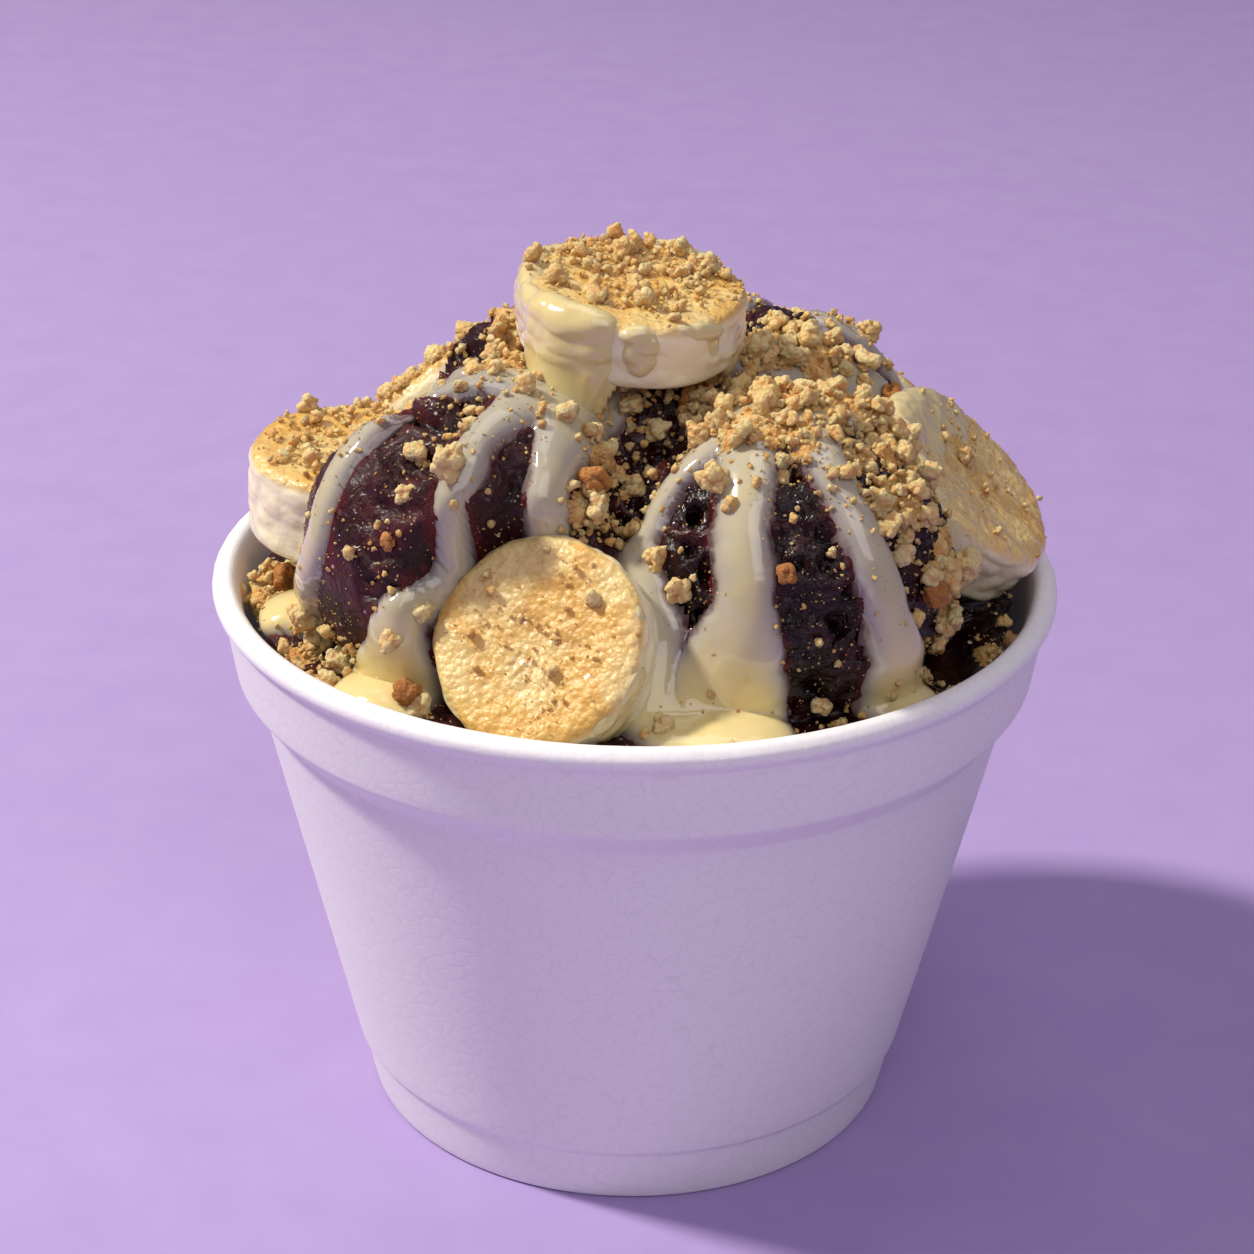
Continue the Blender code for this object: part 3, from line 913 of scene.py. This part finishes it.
# %% Make the slices
slice_shapes = {}
for salt, (node, (face, normal, radius, thick)) in enumerate(SLICES.items()):
    points, share, drop, around = slice_grid(face, normal, radius - 0.1, thick)
    lift, on_face, seed = slice_relief(points, share, drop, around, 100 + 20 * salt)
    lift = lift * smoothstep(-thick, -thick + 1.5, drop)
    normals = grid_normals(points)
    normals = normals * np.sign(np.sum(normals[:1, :1] * normal))
    shaped = points + normals * lift[..., None]
    slice_shapes[node] = (shaped, normals, share, drop, around)
    golden_share = on_face * (0.15 + 0.6 * smoothstep(-0.3, 0.6, fractal(points, 6.0, 140 + salt, 3)))
    slice_all, slice_faces = capped(shaped, shaped[0].mean(0), shaped[-1].mean(0))
    made = piece(
        node + "_slice",
        slice_all,
        slice_faces,
        banana,
        {
            "cut": np.append(on_face.ravel(), [1, 0]),
            "seeds": np.append(seed.ravel(), [0, 0]),
            "syrup": np.append(golden_share.ravel(), [0, 0]),
        },
    )
    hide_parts(node)

# %% [markdown]
# ## Milk on the slices
#
# Milk has also run over some slices. It is thin on the faces, and where it falls off the top
# slice it hangs as a curtain down to the heap. The coat is a shell over the slice's own
# grid, carried on below the slice for the curtain, with a thickness set by compass angle.

# %% Coat a slice
def bump_at(value, middle, half):
    """A half-round hump over an angle in degrees: 1 in the middle, 0 at the half-width."""
    apart = np.abs((value - middle + 180) % 360 - 180) / half
    return np.sqrt(np.maximum(0, 1 - apart**2)) - np.maximum(0, apart - 1) * 2


COATS = {
    # node: list of (compass angle, half-width, depth, how far in over the face, how far down)
    "banana_top": [
        (-125, 26, 1.4, 3.5, 15.0), (-165, 30, 0.5, 3.0, 7.0), (-88, 52, 0.5, 1.5, 8.5),
        (-38, 30, 0.45, 1.5, 8.5), (160, 30, 0.6, 4.0, 8.0), (60, 24, 0.9, 4.0, 14.0)
    ],
    "banana_right": [(150, 60, 0.6, 10.0, 9.0), (-150, 40, 0.5, 5.0, 6.0)],
    "banana_front": [(-15, 40, 0.45, 1.2, 12.0), (40, 40, 0.5, 1.0, 8.0)],
    "banana_back": [(100, 50, 1.0, 6.0, 8.0)],
}
for node, runs in COATS.items():
    shaped, normals, share, drop, around = slice_shapes[node]
    face, normal, radius, thick = SLICES[node]
    wall_rows = int(np.argmax(drop[:, 0] < -thick + 2.0))
    last, steps = shaped[wall_rows], np.linspace(0.5, 10.0, 20)
    outward = normals[wall_rows]
    below = last[None] - normal * steps[:, None, None] + outward * (0.05 * steps**1.3)[:, None, None]
    coat_points = np.vstack([shaped[: wall_rows + 1], below])
    coat_normals = np.vstack([normals[: wall_rows + 1], np.repeat(outward[None], 20, 0)])
    offset = coat_points - face
    flat = offset - (offset @ normal)[..., None] * normal
    compass = np.degrees(np.arctan2(flat[..., 1], flat[..., 0]))
    inward = radius - np.linalg.norm(flat, axis=-1)
    fallen = -(offset @ normal)
    coat_depth = np.full(compass.shape, -2.0)
    wobble = 1.5 * noise(coat_points, 4.0, 401)
    for middle, half, deep, far_in, far_down in runs:
        hump = bump_at(compass, middle, half * (1 - 0.35 * smoothstep(6, 15, fallen)))
        inner = smoothstep(far_in + 2.0, far_in - 2.5, inward + wobble)
        lower = smoothstep(far_down + 2.0, far_down - 3.0, fallen + wobble)
        here = deep * hump * inner * lower - 1.2 * (1 - inner * lower) - 0.05
        coat_depth = np.maximum(coat_depth, here)
    coat_points, coat_faces, source = milk_shell(coat_points, coat_normals, coat_depth)
    values = coat_depth.ravel()[source]
    coat = piece(
        node + "_milk", coat_points, coat_faces, milk,
        {"amount": np.clip(0.55 + 0.25 * values, 0, 1), "pooled": np.clip(0.75 - 0.2 * values, 0, 1)},
    )

# %% [markdown]
# ## Crumbs and nuggets
#
# The topping is crushed shortcrust cookie: knobbly pale clumps, a lot of smaller bits, and
# fine golden dust, with a few roasted brown nuggets. Each bit is a small cluster of grains,
# so its surface is how far a ray from its middle goes before it leaves the last grain. All
# the bits of one kind are worked out at once and joined in one mesh.

# %% Many clusters of grains at once
def ball_ways(rows, columns):
    """Directions on a sphere, pole first and last, and the faces that join them."""
    up = np.linspace(0, np.pi, rows + 2)[1:-1][:, None]
    side = np.linspace(0, 2 * np.pi, columns, endpoint=False)[None, :]
    middle = np.stack([np.sin(up) * np.cos(side), np.sin(up) * np.sin(side), np.cos(up) + 0 * side], -1)
    ways = np.vstack([[[0, 0, 1.0]], middle.reshape(-1, 3), [[0, 0, -1.0]]])
    ring = np.arange(columns)
    first, last = 1 + ring, 1 + (rows - 1) * columns + ring
    top = np.stack([np.zeros(columns, int), first, np.roll(first, -1)], -1)
    bottom = np.stack([last, np.full(columns, rows * columns + 1), np.roll(last, -1)], -1)
    return ways, grid_faces(rows, columns) + 1, np.vstack([top, bottom])


def random_turns(rng, count):
    """Random rotations: three perpendicular directions for each."""
    first = unit(rng.normal(size=(count, 3)))
    second = unit(np.cross(first, rng.normal(size=(count, 3))))
    return np.stack([first, second, np.cross(first, second)], 1)


def clusters(rng, places, sizes, rows, columns, grains, spread=0.56, rough=0.0):
    """Points, faces and painted groove shade of one cluster of grains per place: the furthest exit wins."""
    count = len(places)
    ways, quads, tris = ball_ways(rows, columns)
    middles = unit(rng.normal(size=(count, grains, 3))) * spread * rng.uniform(0.7, 1.1, (count, grains, 1))
    radii = rng.uniform(0.32, 0.5, (count, grains))
    along = np.einsum("vk,ngk->nvg", ways, middles)
    under = along**2 - np.sum(middles**2, -1)[:, None] + (radii**2)[:, None]
    leave = np.where(under > 0, along + np.sqrt(np.maximum(under, 0)), 0)
    out = np.maximum(leave.max(-1), 0.54)
    if rough:
        out = out * (1 + rough * fractal(ways[None] * 1.0 + places[:, None] * 3.0, 0.35, 7, 2))
    squash = rng.uniform(0.72, 1.0, (count, 1, 3))
    shape = ways[None] * out[..., None] * squash
    shape = np.einsum("nvk,nkj->nvj", shape, random_turns(rng, count))
    points = places[:, None] + shape * (sizes / 2)[:, None, None]
    step = (np.arange(count) * len(ways))[:, None, None]
    # Painted shade: the grooves between grains get a darker colour.
    groove_shade = smoothstep(0.85, 0.54, out)
    return points.reshape(-1, 3), [
        (quads + step).reshape(-1, 4), (tris + step).reshape(-1, 3)
    ], groove_shade.ravel()


# %% The surface that crumbs fall on
cover_reach = heap_reach[:upper_rows].copy()
cover_reach = np.maximum(cover_reach, np.where(depth > 0, milk_reach + depth, 0))
cover = HEART + WAYS[:upper_rows] * cover_reach[..., None]
cover_normals = grid_normals(HEART + WAYS[:upper_rows] * (milk_reach + np.maximum(depth, 0))[..., None])
cover_normals = cover_normals * np.sign(np.sum(cover_normals * WAYS[:upper_rows], -1, keepdims=True))

HEAPS = [
    (-28, 3, 109, 9, 1.0), (-21, -1, 112, 8, 1.0), (-34, 3, 104, 7, 1.0), (-15, -3, 113, 6, 0.9),
    (-30, -10, 107, 5, 0.6),
    (-14, -2, 113, 7, 1.0), (-20, -6, 112, 6, 1.0), (-10, -4, 112, 5, 1.0), (-26, -3, 110, 6, 1.0),
    (-12, -16, 109, 8, 0.35), (-5, -14, 108, 6, 0.35), (-22, -27, 107, 6, 0.3), (13, -26, 107, 7, 0.4),
    (22, -28, 106, 5, 0.35),
    (13, -13, 107, 8, 1.0), (19, -15, 109, 7, 0.9), (10, -27, 106, 5, 0.6), (8, -18, 105, 5, 0.6),
    (27, -27, 105, 6, 1.0), (31, -30, 100, 5, 1.0), (35, -29, 93, 5, 1.0), (39, -27, 84, 6, 0.9),
    (28, -16, 106, 7, 1.0), (34, -17, 99, 6, 1.0),
    (16, 3, 110, 8, 1.0), (25, 7, 108, 7, 0.8), (10, 8, 112, 7, 0.8),
    (-4, -24, 102, 4.0, 1.0), (-2, -29, 97, 4.0, 1.0), (-6, -31, 99, 3.5, 0.8),
    (-50, -6, 77, 4.5, 1.0), (-44, -25, 77, 3.6, 1.0), (-40, -32, 77, 4.0, 1.0), (-51, 0, 77, 5, 0.9),
    (-27, -43, 77, 3.0, 0.8),
    (3, -49, 77, 2.5, 0.8), (25, -43, 77, 2.6, 0.7), (41, -24, 77, 5, 1.0), (45, -18, 74, 5, 0.9),
    (0, 26, 105, 11, 0.8), (-32, 24, 90, 8, 0.7), (26, 30, 98, 9, 0.8), (-10, 48, 77, 6, 0.8),
    (42, 30, 77, 6, 0.8), (-47, 20, 77, 7, 0.8),
]
LOOSE = 0.05


def crumb_share(points):
    """How thickly crumbs lie at points: soft mounds of crumbs, broken up, plus loose ones."""
    heaped = sum(
        much * np.exp(-(np.sum((points - [x, y, z]) ** 2, -1)) / size**2) for x, y, z, size,
        much in HEAPS
    )
    broken = smoothstep(-0.35, 0.35, noise(points, 4.0, 301))
    return np.clip(heaped, 0, 1) * (0.35 + 0.65 * broken) + LOOSE


def clear_of_slices(points, room=0.3):
    """True for points that are in no banana slice."""
    free = np.ones(points.shape[:-1], bool)
    for face, normal, radius, thick in SLICES.values():
        above = (points - face) @ normal
        aside = np.linalg.norm(points - face - above[..., None] * normal, axis=-1)
        free &= ~((above < room) & (above > -thick - room) & (aside < radius + room))
    return free


def pick_places(rng, count, weight):
    """Random places on the cover, more where area times weight is larger."""
    sides = np.cross(np.roll(cover, -1, 1)[:-1] - cover[:-1], cover[1:] - cover[:-1])
    area = np.linalg.norm(sides, axis=-1)
    chance = area * weight[:-1]
    chosen = rng.choice(chance.size, size=count, p=(chance / chance.sum()).ravel())
    row, column = np.unravel_index(chosen, chance.shape)
    a, b = rng.uniform(size=(2, count, 1))
    ahead = (column + 1) % cover.shape[1]
    low = cover[row, column] * (1 - a) + cover[row, ahead] * a
    high = cover[row + 1, column] * (1 - a) + cover[row + 1, ahead] * a
    return low * (1 - b) + high * b, cover_normals[row, column]


share_here = crumb_share(cover)
share_here = share_here * (cover[..., 2] > 73) * (np.hypot(cover[..., 0], cover[..., 1]) < 53.6)
share_here = share_here * clear_of_slices(cover, 0.2)
print("crumb cover", round(float(share_here.mean()), 3))

# %% Cookie and nugget materials
def baked(name, low, middle, high, groove_shade_colour, grit_size, strength):
    """Baked crumb: its colour runs over its own tone, with painted shade in the grooves, and it is gritty."""
    material, shader = new_material(name)
    place = add(material, "TexCoord")
    tone = add(material, "Attribute", attribute_name="tone")
    groove_shade = add(material, "Attribute", attribute_name="groove_shade")
    grit = add(
        material, "TexNoise",
        {"Vector": place.outputs["Object"], "Scale": 1 / grit_size, "Detail": 5.0, "Roughness": 0.7}
    )
    mixed = add(
        material, "Math", {0: grit.outputs["Fac"], 1: 0.5, 2: tone.outputs["Fac"]},
        operation="MULTIPLY_ADD"
    )
    crust = add(
        material, "ValToRGB", {"Fac": mixed.outputs[0]},
        stops=[(0.2, low), (0.65, middle), (1.15 / 1.2, high)]
    )
    # Painted shade: grooves are mixed towards the darker groove colour.
    part = add(material, "Math", {0: groove_shade.outputs["Fac"], 1: 0.6}, operation="MULTIPLY")
    colour = add(
        material, "Mix", {0: part.outputs[0], 6: crust.outputs["Color"], 7: srgb(groove_shade_colour)},
        data_type="RGBA"
    )
    pores = add(material, "TexVoronoi", {"Vector": place.outputs["Object"], "Scale": 1 / (grit_size * 1.1)})
    crumbly = add(
        material, "Math", {0: pores.outputs["Distance"], 1: -0.8, 2: grit.outputs["Fac"]},
        operation="MULTIPLY_ADD"
    )
    bump = add(
        material, "Bump",
        {"Height": crumbly.outputs[0], "Strength": strength, "Distance": grit_size * 1.3}
    )
    join(material, shader, {"Base Color": colour.outputs[2], "Normal": bump.outputs[0], "Roughness": 0.75})
    join(
        material, shader,
        {
            "Subsurface Weight": 0.35, "Subsurface Scale": 0.0012,
            "Subsurface Radius": (1.0, 0.55, 0.25), "Specular IOR Level": 0.35
        }
    )
    return material


# The fourth colour of each is the painted shade in the grooves.
cookie = baked("shortcrust cookie crumb", "#ffe8ac", "#fccb7e", "#e29f52", "#e3a058", 0.0006, 1.0)
roasted = baked("roasted nugget", "#dda363", "#c58546", "#a06836", "#84522a", 0.0005, 0.9)

# %% A bed of crumbs under the loose ones, as relief
bed_share = np.clip((share_here - 0.42) / 0.4, -1, 1)
bed_gap, bed_number = cells(cover, 1.7, 311)
bed_depth = 1.1 * bed_share + 0.75 * smoothstep(0.75, 0.1, bed_gap) * (
    0.4 + 0.6 * bed_number
) + 0.25 * noise(cover, 0.8, 312) - 0.35
bed_depth = np.where(share_here > 0.05, bed_depth, -2.0)
bed_top = cover + cover_normals * bed_depth[..., None]
bed_under = cover - cover_normals * 1.5
bed_points, bed_faces, bed_source = closed_shell(
    bed_top.reshape(-1, 3), bed_under.reshape(-1, 3), bed_depth.ravel() > -0.3, grid_faces(*cover.shape[:2])
)
bed_tone = 0.15 + 0.5 * bed_number.ravel()[bed_source]
# Painted shade between the lumps of the bed.
bed_groove_shade = smoothstep(0.35, 0.75, bed_gap).ravel()[bed_source]
crumb_bed = piece("crumb_bed", bed_points, bed_faces, cookie, {"tone": bed_tone, "groove_shade": bed_groove_shade})

# %% Crumbs on the banana faces: node, world place of each small heap, size and share
FACE_HEAPS = {
    "banana_top": [
        (-9, 0.4, 5, 0.9), (-3, -5.6, 5, 1.0), (2, -9, 5, 1.0), (2, 5, 7, 1.0), (7, 5, 6, 1.0),
        (-6, 6, 6, 0.9), (9, -3, 5, 0.8)
    ],
    "banana_left": [(-45, 3, 5, 0.9), (-42, -6, 4, 0.8), (-38, 8, 6, 1.0), (-34, 2, 5, 0.8)],
    "banana_front": [(-8.5, -41, 3, 0.2), (-19, -38, 3, 0.2), (-11, -47, 3, 0.25)],
    "banana_right": [(45, 8, 4, 0.35), (47, 0, 3, 0.3), (42, 8, 4, 0.4)],
    "banana_back_left": [(-27, 19, 9, 1.0)],
    "banana_back": [(-2, 41, 5, 0.4)],
    "banana_back_right": [(32, 35, 5, 0.3)],
}


def face_places(rng, node, count):
    """Random places on a slice's cut face, more of them inside its small heaps."""
    shaped, normals, share, drop, around = slice_shapes[node]
    face, normal, radius, thick = SLICES[node]
    top = shaped[:36]
    weight = share[:36] * LOOSE * 1.5
    for x, y, size, much in FACE_HEAPS[node]:
        weight = weight + share[:36] * much * np.exp(
            -((top[..., 0] - x) ** 2 + (top[..., 1] - y) ** 2) / size**2
        )
    chosen = rng.choice(weight.size, size=count, p=(weight / weight.sum()).ravel())
    row, column = np.unravel_index(chosen, weight.shape)
    return top[row, column] + rng.normal(size=(count, 3)) * 0.15, np.broadcast_to(normal, (count, 3))


def scattered(rng, on_heap, on_faces, weight):
    """Places and normals on the heap and on the slices' faces together."""
    found = [pick_places(rng, on_heap, weight)]
    found += [face_places(rng, node, count) for node, count in on_faces.items()]
    return np.vstack([f[0] for f in found]), np.vstack([f[1] for f in found])


# %% Scatter the dust, the crumbs and the clumps
rng = np.random.default_rng(5)


def scatter(
    name, material, places, normals, sizes, rows, columns, grains, sink, tone, lift=None, rough=0.0,
    smooth=True
):
    """One kind of crumb: clusters set a little into the surface, and its tone per bit."""
    raised = sizes * (0.5 - sink) + (0 if lift is None else lift)
    places = places + normals * raised[:, None]
    points, faces, groove_shade = clusters(rng, places, sizes, rows, columns, grains, rough=rough)
    each = len(points) // len(places)
    values = {"tone": np.repeat(tone, each), "groove_shade": groove_shade}
    made = piece(name, points, faces, material, values, smooth)
    return made


dust_share = share_here * 0.5 + 0.22 * (share_here > 0)
KINDS = [
    # name, how many on the heap, sizes, how rarely large, grid, grains, lift, tones, faces smooth
    ("golden_dust", 8200, (0.22, 0.62), 1.0, (2, 4), 3, 0.0, (0.15, 0.7), False),
    ("small_crumbs", 4300, (0.6, 1.3), 1.3, (3, 6), 4, 1.3, (0.0, 0.5), False),
    ("cookie_bits", 1750, (1.2, 2.6), 1.6, (5, 8), 6, 2.0, (0.0, 0.4), True),
    ("cookie_clumps", 300, (2.6, 4.6), 1.6, (9, 14), 10, 2.4, (0.0, 0.3), True),
]
ON_SLICES = {
    "banana_top": 0.075, "banana_left": 0.035, "banana_front": 0.03, "banana_right": 0.03,
    "banana_back_left": 0.04, "banana_back": 0.015, "banana_back_right": 0.015
}
RARE_ON = {"banana_front": 0.25, "banana_right": 0.3, "banana_back": 0.6, "banana_back_right": 0.6}

for name, many, size_range, rarity, grid, grains, high, tones, rounded_faces in KINDS:
    coarse = size_range[0] > 0.5
    on_faces = {
        node: max(1, int(many * part * (RARE_ON.get(node, 1.0) if coarse else 1.0))) for node,
        part in ON_SLICES.items()
    }
    weight = share_here**1.4 if coarse else share_here * 0.5 + 0.2 * (share_here > 0)
    places, normals = scattered(rng, many, on_faces, weight)
    sizes = size_range[0] + (size_range[1] - size_range[0]) * rng.uniform(size=len(places)) ** rarity
    pile = np.concatenate([crumb_share(places[:many]), np.full(len(places) - many, 0.35)])
    lift = rng.uniform(0, 1, len(places)) * high * np.clip(pile, 0, 1) ** 2
    rough = 0.22 if coarse else 0.0
    tone = rng.uniform(*tones, len(places))
    scatter(name, cookie, places, normals, sizes, *grid, grains, 0.3, tone, lift, rough, rounded_faces)


# %% The largest ones, each put in its own place
def on_cover(spots):
    """Spots moved straight out from the heart on to the cover, with the normal there."""
    spots = np.array(spots, float)
    ways = unit(spots - HEART)
    nearest = np.array([np.argmax((WAYS[:upper_rows] @ way).ravel()) for way in ways])
    return cover.reshape(-1, 3)[nearest], cover_normals.reshape(-1, 3)[nearest]


PALE = [
    (-22, -32, 104, 5.6), (41, -24, 79, 7.0), (13, -10, 107, 5.2), (16, -20, 109, 5.4),
    (10.5, -33, 104, 5.2), (3, -36, 97, 4.6),
    (6, -38, 93, 4.2), (22, -8, 108, 4.8), (2.5, -16, 105, 4.4), (-1, -22, 101, 4.6),
    (-44, -23, 78, 5.0), (-40, -21, 79, 4.8),
    (-40, -30, 78, 5.2), (4, -48, 78, 3.8), (20, -14, 109, 5.4), (-24, 3, 111, 5.6), (-30, 4, 107, 5.2),
    (-35, 2, 103, 4.8),
    (-17, 2, 113, 5.4), (24, 8, 109, 5.0), (17, 4, 112, 4.8), (34, -20, 97, 4.6), (38, -24, 88, 5.2),
    (8, -24, 106, 4.4),
    (0, 24, 107, 5.0), (-14, 28, 96, 5.4), (24, 26, 102, 5.2), (30, 20, 102, 4.8), (-44, 18, 78, 5.0),
    (10, 46, 79, 5.2),
]
BROWN = [
    (-6.7, -28, 102, 5.6), (18.4, -41.5, 96, 3.5), (-51, -5, 78, 5.4), (-29, -41, 78, 4.8),
    (34, 8, 101, 4.2), (-12.4, -9, 109, 3.8),
    (37, -34, 91, 4.6), (-30, -35, 96.5, 2.8), (6.7, -11, 108, 3.8), (48, -14, 77, 4.4),
    (44, -22, 77, 4.0), (-50, 3, 78, 4.2),
    (12, 30, 103, 4.6), (-28, 20, 96, 4.4), (38, 34, 79, 4.6), (-20, 46, 78, 4.2), (-36, 30, 80, 4.8),
]
for name, spots, material, rows, columns, grains, rough, tones in (
    ("pale_nuggets", PALE, cookie, 20, 30, 16, 0.2, (0.0, 0.3)),
    ("roasted_nuggets", BROWN, roasted, 20, 30, 22, 0.1, (0.2, 0.6)),
):
    sizes = np.array(spots)[:, 3]
    places, normals = on_cover(np.array(spots)[:, :3])
    tone = rng.uniform(*tones, len(sizes))
    scatter(name, material, places, normals, sizes, rows, columns, grains, 0.22, tone, rough=rough)
